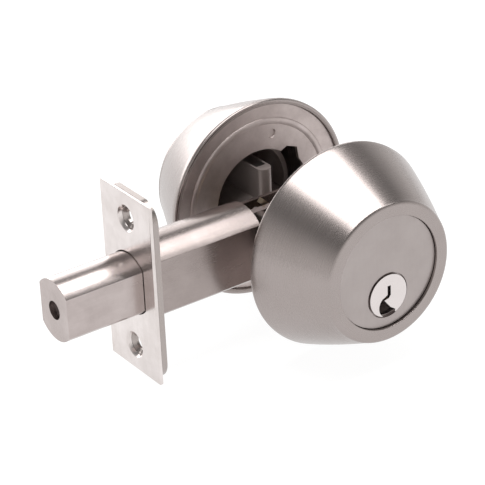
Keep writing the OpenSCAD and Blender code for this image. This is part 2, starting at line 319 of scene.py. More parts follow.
# Painted shade: the back plate is the faceplate's steel at about half the brightness, a darker
# copy that stands in for shade.
BACK_PLATE_SHADED = Finish("back_plate_steel_painted_shade", "plate_steel", (0.40, 0.36, 0.345), 0.26, Grain.UPRIGHT,
                    tint_share=0.3)
CASE = Finish("case_steel", "case_steel", (0.37, 0.32, 0.305), 0.25, Grain.LENGTHWISE,
              tint=(0.24, 0.20, 0.19), tint_share=0.35, mottle=0.1)
BOLT = Finish("bolt_metal", "bolt_metal", (0.50, 0.44, 0.425), 0.25, Grain.LENGTHWISE,
              tint=(0.28, 0.235, 0.22), tint_share=0.35, line_mm=0.22, bump_mm=0.02)
# Partly painted shade: the roller is hardened steel, and its near-black colour stands in for the
# shade in the bolt's blind hole.
HARD_SHADED = Finish("hard_steel", "hard_steel", (0.16, 0.13, 0.125), 0.45, tint=(0.06, 0.05, 0.05),
              tint_share=0.5)
TAIL = Finish("tail_steel", "tail_steel", (0.66, 0.62, 0.61), 0.24, Grain.LENGTHWISE)
CAM = Finish("cam_metal", "cam_metal", (0.34, 0.28, 0.21), 0.40, tint=(0.20, 0.16, 0.12),
             tint_share=0.4, bump_mm=0.03)
ZINC = Finish("fastener_steel", "fastener_steel", (0.48, 0.45, 0.44), 0.30, tint_share=0.3)
BRASS = Finish("brass", "brass", (0.55, 0.41, 0.20), 0.28, tint=(0.34, 0.23, 0.10))
PIN = Finish("pin_steel", "pin_steel", (0.62, 0.60, 0.60), 0.20)
SPRING = Finish("spring_steel", "spring_steel", (0.36, 0.34, 0.335), 0.32)


class Dresser:
    """Makes each finish once and puts it on pieces and CAD nodes."""

    def __init__(self, cross_x: float) -> None:
        """Remembers the axis that round grain turns about."""
        self.cross_x = cross_x
        self.made: dict[str, bpy.types.Material] = {}

    def dress(self, obj: bpy.types.Object, finish: Finish) -> None:
        """Gives an object one finish."""
        if finish.name not in self.made:
            self.made[finish.name] = finish.material(self.cross_x)
        obj.data.materials.clear()
        obj.data.materials.append(self.made[finish.name])

    def nodes(self, finish: Finish, *names: str) -> None:
        """Gives CAD nodes a finish and keeps their shape."""
        for name in names:
            self.dress(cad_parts[name], finish)
            LOG.info("dressed %s in %s", name, finish.name)


# ---- modelling ----


class Bench:
    """Models pieces with Blender's operators, in millimetres in the row frame."""

    @staticmethod
    def clear() -> None:
        """Leaves edit mode and selects nothing."""
        if bpy.context.object and bpy.context.object.mode != "OBJECT":
            bpy.ops.object.mode_set(mode="OBJECT")
        bpy.ops.object.select_all(action="DESELECT")

    @classmethod
    def pick(cls, obj: bpy.types.Object) -> None:
        """Selects one piece alone and makes it active."""
        cls.clear()
        obj.select_set(True)
        bpy.context.view_layer.objects.active = obj

    @classmethod
    def settle(cls, name: str) -> bpy.types.Object:
        """Names the new primitive and puts its place in its mesh."""
        obj = bpy.context.active_object
        obj.name = name
        obj.data.name = name
        bpy.ops.object.transform_apply(location=True, rotation=True, scale=True)
        return obj

    @classmethod
    def rod(cls, name: str, axis: Axis, base: Point, length: float, radius: float,
            far_radius: float | None = None, sides: int = 96) -> bpy.types.Object:
        """A bar or a cone.

        Args:
            name: the piece's name.
            axis: the axis that it lies along.
            base: the centre of its near end.
            length: its length, towards the axis's positive end.
            radius: the near end's radius.
            far_radius: the far end's radius, or None for the same.
            sides: how many flats its round wall has.

        Returns:
            The new object.
        """
        cls.clear()
        turn = Matrix.Identity(3)
        for angle, about in zip(axis.value, "XYZ"):
            turn = Matrix.Rotation(angle, 3, about) @ turn
        middle = (Vector(base) + turn @ Vector((0, 0, length / 2))) * MM
        far = radius if far_radius is None else far_radius
        bpy.ops.mesh.primitive_cone_add(
            vertices=sides, radius1=radius * MM, radius2=far * MM, depth=length * MM,
            location=middle, rotation=axis.value)
        return cls.settle(name)

    @classmethod
    def block(cls, name: str, low: Point, high: Point) -> bpy.types.Object:
        """A box between two corners."""
        cls.clear()
        size = Vector(high) - Vector(low)
        bpy.ops.mesh.primitive_cube_add(size=1.0, location=(Vector(low) + size / 2) * MM)
        bpy.context.active_object.scale = size * MM
        return cls.settle(name)

    @classmethod
    def lathe(cls, name: str, profile: Profile, cross_x: float, sign: int,
              sides: int = 192) -> bpy.types.Object:
        """A ring turned about the cross axis.

        Args:
            name: the piece's name.
            profile: (radius, height off the door's middle) points of its closed section.
            cross_x: the cross axis's X.
            sign: the side's outward direction on Y.
            sides: how many flats a turn has.

        Returns:
            The new object, with a closed outward skin.
        """
        cls.clear()
        centre = Vector((cross_x, 0, 0)) * MM
        first_r, first_h = profile[0]
        bpy.ops.mesh.primitive_circle_add(
            vertices=sides, radius=first_r * MM, fill_type="NOTHING",
            location=centre + Vector((0, sign * first_h, 0)) * MM, rotation=Axis.Y.value)
        obj = cls.settle(name)
        bpy.ops.object.mode_set(mode="EDIT")
        bpy.ops.mesh.select_all(action="SELECT")
        for (r0, h0), (r1, h1) in zip(profile, profile[1:] + profile[:1]):
            rise = (0.0, sign * (h1 - h0) * MM, 0.0)
            bpy.ops.mesh.extrude_region_move(TRANSFORM_OT_translate={"value": rise})
            bpy.ops.transform.resize(value=(r1 / r0, 1.0, r1 / r0), center_override=centre)
        bpy.ops.mesh.select_all(action="SELECT")
        bpy.ops.mesh.remove_doubles(threshold=0.001 * MM)
        bpy.ops.mesh.normals_make_consistent(inside=False)
        cls.clear()
        return obj

    @classmethod
    def slice(cls, obj: bpy.types.Object, at: Point, away: Point) -> bpy.types.Object:
        """Cuts off and closes what lies beyond a plane."""
        cls.pick(obj)
        bpy.ops.object.mode_set(mode="EDIT")
        bpy.ops.mesh.select_all(action="SELECT")
        bpy.ops.mesh.bisect(plane_co=Vector(at) * MM, plane_no=away, use_fill=True,
                            clear_outer=True, threshold=0.0001 * MM)
        cls.clear()
        return obj

    @classmethod
    def flatted(cls, name: str, x0: float, x1: float, radius: float,
                half: float) -> bpy.types.Object:
        """A bar along X with its two sides cut flat."""
        obj = cls.rod(name, Axis.X, (x0, 0, 0), x1 - x0, radius, sides=128)
        for sign in (-1, 1):
            cls.slice(obj, (0, sign * half, 0), (0, sign, 0))
        return obj

    @classmethod
    def modifier(cls, obj: bpy.types.Object, kind: str, **settings: object) -> None:
        """Adds a modifier and applies it."""
        cls.pick(obj)
        bpy.ops.object.modifier_add(type=kind)
        added = obj.modifiers[-1]
        for key, value in settings.items():
            setattr(added, key, value)
        bpy.ops.object.modifier_apply(modifier=added.name)

    @classmethod
    def boolean(cls, target: bpy.types.Object, operation: str,
                *tools: bpy.types.Object) -> bpy.types.Object:
        """Joins or cuts with other objects, which are used up."""
        for tool in tools:
            cls.modifier(target, "BOOLEAN", operation=operation, solver="EXACT", object=tool)
            bpy.data.objects.remove(tool)
        return target

    @classmethod
    def ease(cls, obj: bpy.types.Object, width: float, segments: int = 2,
             angle: float = 35.0) -> None:
        """Breaks sharp edges with a small round."""
        cls.modifier(obj, "BEVEL", width=width * MM, segments=segments, limit_method="ANGLE",
                     angle_limit=math.radians(angle), use_clamp_overlap=True,
                     miter_outer="MITER_ARC")
        cls.close(obj)

    @classmethod
    def close(cls, obj: bpy.types.Object) -> None:
        """Fills the hairline gaps that a cut can leave in a skin."""
        cls.pick(obj)
        bpy.ops.object.mode_set(mode="EDIT")
        bpy.ops.mesh.select_mode(type="VERT")
        bpy.ops.mesh.select_all(action="DESELECT")
        bpy.ops.mesh.select_non_manifold(extend=False, use_wire=False, use_boundary=True,
                                         use_multi_face=False, use_non_contiguous=False,
                                         use_verts=False)
        bpy.ops.mesh.fill_holes(sides=0)
        cls.clear()

    @classmethod
    def smooth(cls, obj: bpy.types.Object, angle: float = 32.0) -> None:
        """Shades smooth except across sharp edges."""
        cls.pick(obj)
        bpy.ops.object.shade_smooth_by_angle(angle=math.radians(angle))
        cls.modifier(obj, "WEIGHTED_NORMAL", keep_sharp=True)
        cls.clear()


def arc(centre: tuple[float, float], radius: float, start: float, end: float,
        steps: int) -> Profile:
    """Points of an arc.

    Args:
        centre: its centre.
        radius: its radius.
        start: first angle in degrees.
        end: last angle in degrees.
        steps: how many stretches it has.

    Returns:
        The points, both ends included.
    """
    angles = (math.radians(start + (end - start) * i / steps) for i in range(steps + 1))
    return [(centre[0] + radius * math.cos(a), centre[1] + radius * math.sin(a)) for a in angles]


class Assembly:
    """A group of pieces that share the bench and the finishes."""

    def __init__(self, dresser: Dresser) -> None:
        """Keeps the finishes and the cross axis in millimetres."""
        self.dresser = dresser
        self.cross_x = dresser.cross_x / MM

    def place(self, obj: bpy.types.Object, node: str, body: str, finish: Finish) -> None:
        """Shades, dresses and rides a finished piece that stands for one CAD node.

        Args:
            obj: the finished piece.
            node: the CAD node that it stands for.
            body: the CAD body that it moves with.
            finish: its finish.

        Raises:
            ValueError: the piece's box is not the node's, so a cut or a join has failed.
        """
        for axis, (low, high) in enumerate(zip(*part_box(node))):
            values = [vertex.co[axis] for vertex in obj.data.vertices]
            if max(abs(min(values) - low), abs(max(values) - high)) > BOX_SLACK:
                raise ValueError(f"{obj.name} does not fill the box of {node} on {'XYZ'[axis]}")
        Bench.smooth(obj)
        self.dresser.dress(obj, finish)
        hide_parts(node)
        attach(obj, body)
        LOG.info("%s: %d faces, for %s on %s", obj.name, len(obj.data.polygons), node, body)


def box_mm(node: str) -> tuple[Vector, Vector]:
    """A CAD node's lowest and highest corners in millimetres."""
    low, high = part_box(node)
    return low / MM, high / MM


@dataclass
class BoltAssembly(Assembly):
    """The bolt bar with its roller, tail, rivets and drive pin."""

    dresser: Dresser
    edge: float = 0.45
    roller_gap: float = 0.05
    tail_gap: float = 0.05

    def __post_init__(self) -> None:
        """Sets up the shared parts."""
        super().__init__(self.dresser)

    def bar(self) -> None:
        """Models the flat-sided bolt bar with the roller's hole and the tail's slot."""
        low, high = box_mm("bolt_bar")
        bar = Bench.flatted("bolt_body", low.x, high.x, high.z, high.y)
        _, roller_high = box_mm("bolt_roller")
        hole_r = roller_high.z + self.roller_gap
        hole = Bench.rod("hole", Axis.X, (low.x - 1, 0, 0), roller_high.x - low.x + 1, hole_r,
                         sides=48)
        tail_low, _ = box_mm("bolt_tail")
        rivet_low, rivet_high = box_mm("tail_rivets")
        half = -tail_low.y + self.tail_gap
        slot = Bench.block("slot", (tail_low.x - 0.2, -half, tail_low.z - 0.1),
                           (high.x + 1, half, high.z + 1))
        Bench.boolean(bar, "DIFFERENCE", hole, slot)
        rivet_r = (rivet_high.z - rivet_low.z) / 2
        middle_z = (rivet_high.z + rivet_low.z) / 2
        for x in (rivet_low.x + rivet_r, rivet_high.x - rivet_r):
            drill = Bench.rod("drill", Axis.Y, (x, 2 * low.y, middle_z), 4 * high.y,
                              rivet_r + self.roller_gap, sides=32)
            Bench.boolean(bar, "DIFFERENCE", drill)
        Bench.ease(bar, self.edge, 3)
        self.place(bar, "bolt_bar", "bolt", BOLT)

    def build(self) -> None:
        """Builds the bolt and dresses its small parts."""
        self.bar()
        # The roller's near-black colour is painted shade of its hole.
        self.dresser.nodes(HARD_SHADED, "bolt_roller")
        self.dresser.nodes(TAIL, "bolt_tail")
        self.dresser.nodes(ZINC, "tail_rivets", "drive_pin")


@dataclass
class EdgePlates(Assembly):
    """The square faceplate and the round-cornered plate behind it."""

    dresser: Dresser
    clearance: float = 0.25
    case_gap: float = 0.05
    sink_r: float = 4.2
    hole_r: float = 2.3
    pitch: float = 41.3
    corner: float = 6.35

    def __post_init__(self) -> None:
        """Sets up the shared parts."""
        super().__init__(self.dresser)

    def _pierce(self, plate: bpy.types.Object, around: str, spare: float) -> None:
        """Cuts the window that one piece passes through, and both countersunk screw holes."""
        _, inner = box_mm(around)
        face_low, face_high = box_mm("faceplate")
        back_high = box_mm("back_plate")[1]
        sink = face_high.x + (back_high.x - face_high.x) / 2 - face_low.x
        window = Bench.flatted("window", face_low.x - 1, back_high.x + 1, inner.z + spare,
                               inner.y + spare)
        Bench.boolean(plate, "DIFFERENCE", window)
        for sign in (-1, 1):
            z = sign * self.pitch / 2
            flare = (self.sink_r - self.hole_r) / sink
            cone = Bench.rod("cone", Axis.X, (face_low.x - 1, 0, z), sink + 1,
                             self.sink_r + flare, self.hole_r, sides=64)
            drill = Bench.rod("drill", Axis.X, (face_low.x - 1, 0, z),
                              back_high.x - face_low.x + 2, self.hole_r, sides=64)
            Bench.boolean(plate, "DIFFERENCE", cone, drill)

    def face(self) -> None:
        """Models the faceplate."""
        low, high = box_mm("faceplate")
        plate = Bench.block("face_plate", low, high)
        self._pierce(plate, "bolt_bar", self.clearance)
        Bench.ease(plate, 0.18)
        self.place(plate, "faceplate", "lock_frame", PLATE)

    def back(self) -> None:
        """Models the backing plate: a flat sheet with round corners, thickened."""
        low, high = box_mm("back_plate")
        Bench.clear()
        bpy.ops.mesh.primitive_plane_add(size=1.0, location=(low.x * MM, 0, 0),
                                         rotation=(0, math.pi / 2, 0))
        bpy.context.active_object.scale = (2 * high.z * MM, 2 * high.y * MM, 1.0)
        plate = Bench.settle("backing_plate")
        bpy.ops.object.mode_set(mode="EDIT")
        bpy.ops.mesh.select_all(action="SELECT")
        bpy.ops.mesh.bevel(offset=self.corner * MM, segments=12, affect="VERTICES")
        bpy.ops.mesh.select_all(action="SELECT")
        bpy.ops.mesh.extrude_region_move(
            TRANSFORM_OT_translate={"value": ((high.x - low.x) * MM, 0, 0)})
        bpy.ops.mesh.select_all(action="SELECT")
        bpy.ops.mesh.normals_make_consistent(inside=False)
        Bench.clear()
        self._pierce(plate, "bolt_case", self.case_gap)
        Bench.ease(plate, 0.15)
        # The backing plate takes the darker copy of the plate steel, which is painted shade.
        self.place(plate, "back_plate", "lock_frame", BACK_PLATE_SHADED)

    def build(self) -> None:
        """Builds both plates."""
        self.face()
        self.back()


@dataclass
class BoltCase(Assembly):
    """The pressed case round the bolt, open above the crank."""

    dresser: Dresser
    sheet: float = 1.2
    roof_end: float = -20.0
    channel_z: float = 7.4
    ear_half: float = 7.0
    ear_z: float = -11.8
    floor_z: float = -4.0
    stud_x: float = 11.3
    stud_z: float = -6.0
    stud_hole: float = 2.3
    hub_hole: float = 3.05
    spacer_r: float = 1.55
    plug_z: float = -7.5

    def __post_init__(self) -> None:
        """Sets up the shared parts."""
        super().__init__(self.dresser)

    def build(self) -> None:
        """Models the case: a flat-sided tube, its open channel, the ears and the holes."""
        low, high = box_mm("bolt_case")
        mid = self.cross_x
        inner = high.y - self.sheet
        case = Bench.flatted("bolt_case_shell", low.x, high.x, high.z, high.y)
        hollow = Bench.flatted("hollow", low.x - 1, high.x + 1, high.z - self.sheet, inner)
        roof = Bench.block("roof", (mid + self.roof_end, 2 * low.y, self.channel_z),
                           (high.x + 1, 2 * high.y, high.z + 1))
        floor = Bench.block("floor", (mid - self.ear_half, 2 * low.y, 2 * low.z),
                            (mid + self.ear_half, 2 * high.y, self.floor_z))
        Bench.boolean(case, "DIFFERENCE", hollow, roof, floor)
        for sign in (-1, 1):
            walls = sorted((sign * inner, sign * high.y))
            ear = Bench.block("ear", (mid - self.ear_half, walls[0], self.ear_z),
                              (mid + self.ear_half, walls[1], 0))
            Bench.boolean(case, "UNION", ear)
        spacer_x = (box_mm("case_spacer")[0].x + box_mm("case_spacer")[1].x) / 2
        holes = [(mid, self.plug_z, self.hub_hole), (spacer_x, 0.0, self.spacer_r),
                 (mid - self.stud_x, self.stud_z, self.stud_hole),
                 (mid + self.stud_x, self.stud_z, self.stud_hole)]
        for x, z, radius in holes:
            drill = Bench.rod("drill", Axis.Y, (x, 2 * low.y, z), 4 * high.y, radius, sides=48)
            Bench.boolean(case, "DIFFERENCE", drill)
        Bench.ease(case, 0.2)
        self.place(case, "bolt_case", "lock_frame", CASE)
        self.dresser.nodes(ZINC, "case_spacer")
        self.dresser.nodes(CAM, "cam")


@dataclass
class Trim(Assembly):
    """One tapered collar and the backing ring pressed into it."""

    dresser: Dresser
    side: Side
    face_r: float = 22.1
    swell: float = 0.35
    opening_r: float = 17.7
    ledge_drop: float = 2.65
    ledge_r: float = 16.1
    bore_r: float = 15.4
    rebate: float = 1.6
    rebate_h: float = 2.3
    bead: tuple[float, float] = (23.6, 25.7)
    dent: tuple[float, float] = (5.5, 19.7)

    def __post_init__(self) -> None:
        """Sets up the shared parts and reads the collar's place."""
        super().__init__(self.dresser)
        low, high = box_mm(self.side.node("collar"))
        self.rim_r = high.z
        self.rim_h = min(abs(low.y), abs(high.y))
        self.front_h = max(abs(low.y), abs(high.y))

    def collar(self) -> None:
        """Turns the collar: rolled rim, slightly swelling taper, rounded face and ledge."""
        lip, edge, steps = 0.55, 1.3, 14
        start, end = self.rim_h + 1.2, self.front_h - edge
        taper = []
        for i in range(steps + 1):
            t = i / steps
            bulge = 4 * self.swell * t * (1 - t)
            taper.append((self.rim_r + (self.face_r - self.rim_r) * t + bulge,
                          start + (end - start) * t))
        ledge_h = self.front_h - self.ledge_drop
        rebate_r = self.rim_r - self.rebate
        profile = [
            *arc((self.rim_r - lip, self.rim_h + lip), lip, -90, 0, 6),
            *taper,
            *arc((self.face_r - edge, self.front_h - edge), edge, 18, 90, 9),
            *arc((self.opening_r + 0.25, self.front_h - 0.25), 0.25, 90, 180, 4),
            (self.opening_r, ledge_h), (self.ledge_r, ledge_h),
            (self.ledge_r, ledge_h - 1.6), (self.face_r - 0.5, ledge_h - 1.6),
            (rebate_r - 0.9, self.rim_h + self.rebate_h), (rebate_r, self.rim_h + self.rebate_h),
            *arc((rebate_r + 0.2, self.rim_h + 0.2), 0.2, 180, 270, 3),
        ]
        shell = Bench.lathe(self.side.node("collar_shell"), profile, self.cross_x, self.side.sign)
        self.place(shell, self.side.node("collar"), self.side.body("trim"), COLLAR)

    def backing(self) -> None:
        """Turns the backing ring with its bead, then cuts the notch and dents the dimple."""
        low, high = box_mm(self.side.node("backing_ring"))
        bead_h, top = sorted((abs(low.y), abs(high.y)))
        face_h = bead_h + 0.5
        outer = high.z
        bore = self.bore_r
        middle = sum(self.bead) / 2
        half = (self.bead[1] - self.bead[0]) / 2
        bead = [(middle - half * math.cos(math.radians(a)),
                 face_h - 0.5 * math.sin(math.radians(a))) for a in range(0, 181, 20)]
        profile = [
            *arc((bore + 0.25, face_h + 0.25), 0.25, 180, 270, 3), *bead,
            (outer - 0.2, face_h), (outer, face_h + 0.2), (outer, top), (bore, top),
        ]
        ring = Bench.lathe(self.side.node("backing"), profile, self.cross_x, self.side.sign)
        Bench.boolean(ring, "DIFFERENCE", *self._notch(bead_h - 1, top + 1))
        sign = self.side.sign
        x, z = self.dent
        near = min(sign * (face_h - 1), sign * (face_h + 0.45))
        radii = (1.9, 1.3) if sign > 0 else (1.3, 1.9)
        dent = Bench.rod("dent", Axis.Y, (self.cross_x + x, near, z), 1.45, *radii, sides=48)
        Bench.boolean(ring, "DIFFERENCE", dent)
        Bench.ease(ring, 0.14, angle=50)
        self.place(ring, self.side.node("backing_ring"), self.side.body("trim"), BACKING)

    def _notch(self, h0: float, h1: float) -> list[bpy.types.Object]:
        """The notch's square corner and the slot that it runs into, as cutting blocks."""
        ys = sorted((self.side.sign * h0, self.side.sign * h1))
        x = self.cross_x
        corner = Bench.block("corner", (x + 8, ys[0], 0), (x + 15.4, ys[1], 14))
        for at, away in (((8, 12.5), (-0.435, 0.9)), ((14.7, 12.5), (0.345, 0.939)),
                         ((14.7, 12.5), (0.986, 0.164))):
            Bench.slice(corner, (x + at[0], 0, at[1]), (away[0], 0, away[1]))
        slot = Bench.block("slot", (x + 10, ys[0], -6.1), (x + 16.8, ys[1], 8.3))
        Bench.slice(slot, (x + 15.4, 0, 8.3), (0.844, 0, 0.537))
        return [corner, slot]

    def build(self) -> None:
        """Builds the collar and its backing."""
        self.collar()
        self.backing()


@dataclass
class LockCylinder(Assembly):
    """One lock cylinder: the casting, the plug with its keyway and the inner parts."""

    dresser: Dresser
    side: Side
    plug_z: float = -7.5
    plug_r: float = 6.5
    head_r: float = 6.65
    seat_r: float = 7.15
    seat_depth: float = 0.9
    barrel_r: float = 8.6
    can_r: float = 15.9
    can_t: float = 1.5
    can_h: float = 27.0
    disc_t: float = 1.6
    chamber_half: float = 2.4
    chamber_z: float = 11.2
    overhang_z: float = 1.4
    trim_r: float = 15.1
    spring_z: float = 10.3
    stem_x: float = 11.3
    stem_z: float = -6.0
    stem_r: float = 3.0
    stem_h: float = 22.05
    tap_end: float = 36.05
    tap_r: float = 2.05
    screw_hole_r: float = 2.3
    sink_r: float = 3.6
    sink_depth: float = 2.6
    barrel_h: float = 17.5
    pin_r: float = 1.45
    pin_pitch: float = 3.81
    pin_first: float = 5.6
    pins: int = 5

    def __post_init__(self) -> None:
        """Sets up the shared parts and reads the cylinder's place."""
        super().__init__(self.dresser)
        low, high = box_mm(self.side.node("cylinder"))
        self.disc_r = high.z
        self.disc_h = max(abs(low.y), abs(high.y))
        self.plug_h = max(abs(v.y) for v in box_mm(self.side.node("plug")))

    def _rod(self, name: str, x: float, z: float, h0: float, h1: float, radius: float,
             sides: int = 96) -> bpy.types.Object:
        """A bar along Y between two heights off the door's middle, on this side."""
        start = min(self.side.sign * h0, self.side.sign * h1)
        return Bench.rod(name, Axis.Y, (self.cross_x + x, start, z), h1 - h0, radius,
                         sides=sides)

    def _block(self, name: str, x0: float, x1: float, h0: float, h1: float, z0: float,
               z1: float) -> bpy.types.Object:
        """A box between two heights off the door's middle, on this side."""
        ys = sorted((self.side.sign * h0, self.side.sign * h1))
        return Bench.block(name, (self.cross_x + x0, ys[0], z0), (self.cross_x + x1, ys[1], z1))

    def casting(self) -> None:
        """Joins disc, can, barrel, chamber and stems, then bores them."""
        seat_h = self.disc_h - self.disc_t
        body = self._rod(self.side.node("casting"), 0, 0, seat_h, self.disc_h, self.disc_r, 192)
        can = self._rod("can", 0, 0, self.can_h, seat_h + 1, self.can_r, 192)
        hollow = self._rod("hollow", 0, 0, self.can_h - 1, seat_h, self.can_r - self.can_t, 128)
        Bench.boolean(can, "DIFFERENCE", hollow)
        barrel = self._rod("barrel", 0, self.plug_z, self.barrel_h, seat_h + 1, self.barrel_r)
        trim = self._rod("trim", 0, 0, self.barrel_h - 1, seat_h + 2, self.trim_r, sides=128)
        Bench.boolean(barrel, "INTERSECT", trim)
        chamber = self._block("chamber", -self.chamber_half, self.chamber_half, self.barrel_h,
                              seat_h + 1, self.plug_z, self.chamber_z)
        post = Bench.rod("post", Axis.Z,
                         (self.cross_x, self.side.sign * self.barrel_h, self.overhang_z),
                         self.chamber_z - self.overhang_z, self.chamber_half, sides=64)
        Bench.boolean(chamber, "UNION", post)
        Bench.boolean(body, "UNION", can, barrel, chamber)
        for sign in (-1, 1):
            stem = self._rod("stem", sign * self.stem_x, self.stem_z, self.stem_h, seat_h + 1,
                             self.stem_r, 48)
            Bench.boolean(body, "UNION", stem)
        self._bore(body)
        Bench.ease(body, 0.15, 2, 40)
        self.place(body, self.side.node("cylinder"), "lock_frame", DISC)

    def _bore(self, body: bpy.types.Object) -> None:
        """Cuts the plug's bore, the pin holes, the cover's groove and the screw holes."""
        bore = self._rod("bore", 0, self.plug_z, self.barrel_h - 1, self.disc_h + 1,
                         self.plug_r + 0.05)
        seat = self._rod("seat", 0, self.plug_z, self.disc_h - self.seat_depth, self.disc_h + 1,
                         self.seat_r)
        groove = self._block("groove", -1.75, 1.75, self.barrel_h + 1, self.plug_h - 2,
                             self.spring_z, self.spring_z + 3)
        Bench.boolean(body, "DIFFERENCE", bore, seat, groove)
        for i in range(self.pins):
            h = self.plug_h - self.pin_first - i * self.pin_pitch
            place = (self.cross_x, self.side.sign * h, self.plug_z)
            drill = Bench.rod("drill", Axis.Z, place, self.spring_z - self.plug_z + 1, self.pin_r,
                              sides=32)
            Bench.boolean(body, "DIFFERENCE", drill)
        for sign in (-1, 1):
            x = sign * self.stem_x
            if self.side is Side.INTERIOR:
                tools = [
                    self._rod("drill", x, self.stem_z, self.stem_h - 1, self.disc_h + 1,
                              self.screw_hole_r, 48),
                    self._rod("sink", x, self.stem_z, self.disc_h - self.sink_depth,
                              self.disc_h + 1, self.sink_r, 64),
                ]
            else:
                tools = [self._rod("tap", x, self.stem_z, self.stem_h - 1, self.tap_end,
                                   self.tap_r, 48)]
            Bench.boolean(body, "DIFFERENCE", *tools)

    def plug(self) -> None:
        """Models the plug with its head, keyway, pin holes, clip groove and lug."""
        clip_low, clip_high = box_mm(self.side.node("plug_clip"))
        clip_h, clip_top = sorted((abs(clip_low.y), abs(clip_high.y)))
        rear = min(abs(v.y) for v in box_mm(self.side.node("plug")))
        neck_h = clip_h - 1.4
        plug = self._rod(self.side.node("plug_core"), 0, self.plug_z, clip_h - 0.1, self.plug_h,
                         self.plug_r)
        head = self._rod("head", 0, self.plug_z, self.disc_h - 0.7, self.plug_h, self.head_r)
        neck = self._rod("neck", 0, self.plug_z, neck_h, clip_h, self.plug_r - 0.9)
        Bench.boolean(plug, "UNION", head, neck)
        lug = self._rod("lug", 0, self.plug_z, rear, neck_h + 0.3, 5.2, 64)
        core = self._rod("core", 0, self.plug_z, rear - 1, neck_h + 1, 2.6, 48)
        Bench.boolean(lug, "DIFFERENCE", core)
        for degrees, turn in ((90, 1), (62, -1)):
            angle = math.radians(degrees + 90 * turn)
            Bench.slice(lug, (self.cross_x, 0, self.plug_z), (math.cos(angle), 0, math.sin(angle)))
        Bench.boolean(plug, "UNION", lug)
        groove = self._rod("groove", 0, self.plug_z, clip_h - 0.05, clip_top + 0.05,
                           self.plug_r + 1)
        shaft = self._rod("shaft", 0, self.plug_z, clip_h - 1, clip_top + 1, self.plug_r - 1.3)
        Bench.boolean(groove, "DIFFERENCE", shaft)
        Bench.boolean(plug, "DIFFERENCE", groove)
        for i in range(self.pins):
            h = self.plug_h - self.pin_first - i * self.pin_pitch
            drill = Bench.rod("drill", Axis.Z, (self.cross_x, self.side.sign * h, self.plug_z),
                              self.plug_r + 1, self.pin_r, sides=32)
            Bench.boolean(plug, "DIFFERENCE", drill)
        self._keyway(plug, clip_top + 0.5)
        Bench.ease(plug, 0.12, 2, 40)
        self.place(plug, self.side.node("plug"), self.side.body("plug_set"), PLUG)

    def _keyway(self, plug: bpy.types.Object, start: float) -> None:
        """Cuts the keyway: an upper slot, a slanted step and a curved lobe open at the bottom."""
        x, z, end = self.cross_x, self.plug_z, self.plug_h + 1
        slot = self._block("slot", -0.3, 0.85, start, end, z - 0.5, z + 3.1)
        Bench.slice(slot, (x + 0.1, 0, z - 0.9), (0.77, 0, -0.64))
        step = self._block("step", -2.35, 0.85, start, end, z - 1.4, z + 0.4)
        for at, away in (((-0.3, 0.3), (-0.456, 0.89)), ((0.1, -0.9), (0.184, -0.983)),
                         ((0.1, -0.9), (0.77, -0.64))):
            Bench.slice(step, (x + at[0], 0, z + at[1]), (away[0], 0, away[1]))
        tools = [slot, step]
        for at, away in (((0.7, -4.0), (0.786, 0.618)), ((0.7, -4.0), (0.577, 0.817))):
            lobe = self._rod("lobe", 0.3, z - 3.4, start, end, 3.75, 96)
            Bench.slice(lobe, (x + at[0], 0, z + at[1]), (away[0], 0, away[1]))
            Bench.slice(lobe, (x + 2.4, 0, z), (1, 0, 0))
            tools.append(lobe)
        tools.append(self._block("mouth", -2.2, 2.4, start, end, z - 7.5, z - 5.9))
        Bench.boolean(plug, "DIFFERENCE", *tools)

    def build(self) -> None:
        """Builds the cylinder and dresses its inner parts."""
        self.casting()
        self.plug()
        node = self.side.node
        self.dresser.nodes(BRASS, node("driver_cup"), node("key_pins"))
        self.dresser.nodes(PIN, node("driver_pins"))
        self.dresser.nodes(SPRING, node("chamber_cover"), node("plug_clip"), node("springs"))
        self.dresser.nodes(TAIL, node("tailpiece"))


@dataclass
class ThroughBolts(Assembly):
    """The two long screws with cross recesses in their heads."""

    dresser: Dresser
    shank_r: float = 2.0
    head_r: float = 3.2
    head_h: float = 2.2
    recess: float = 4.2
    recess_depth: float = 1.3
    slot: float = 0.95

    def __post_init__(self) -> None:
        """Sets up the shared parts."""
        super().__init__(self.dresser)

    def build(self) -> None:
        """Models one screw and copies it to the other side."""
        low, high = box_mm("through_bolts")
        xs = (low.x + self.head_r, high.x - self.head_r)
        z = (low.z + high.z) / 2
        shank = Bench.rod("through_screws", Axis.Y, (xs[0], low.y, z), high.y - low.y - 1,
                          self.shank_r, sides=48)
        head = Bench.rod("head", Axis.Y, (xs[0], high.y - self.head_h, z), self.head_h,
                         self.head_r, sides=64)
        Bench.ease(head, 0.5, 4)
        Bench.boolean(shank, "UNION", head)
        for across in ((self.recess, self.slot), (self.slot, self.recess)):
            cross = Bench.block("cross", (xs[0] - across[0] / 2, high.y - self.recess_depth,
                                        z - across[1] / 2),
                                (xs[0] + across[0] / 2, high.y + 1, z + across[1] / 2))
            Bench.boolean(shank, "DIFFERENCE", cross)
        Bench.ease(shank, 0.08)
        Bench.clear()
        shank.select_set(True)
        bpy.context.view_layer.objects.active = shank
        bpy.ops.object.mode_set(mode="EDIT")
        bpy.ops.mesh.select_all(action="SELECT")
        bpy.ops.mesh.duplicate_move(
            TRANSFORM_OT_translate={"value": ((xs[1] - xs[0]) * MM, 0, 0)})
        Bench.clear()
        self.place(shank, "through_bolts", "lock_frame", ZINC)


# ---- studio ----


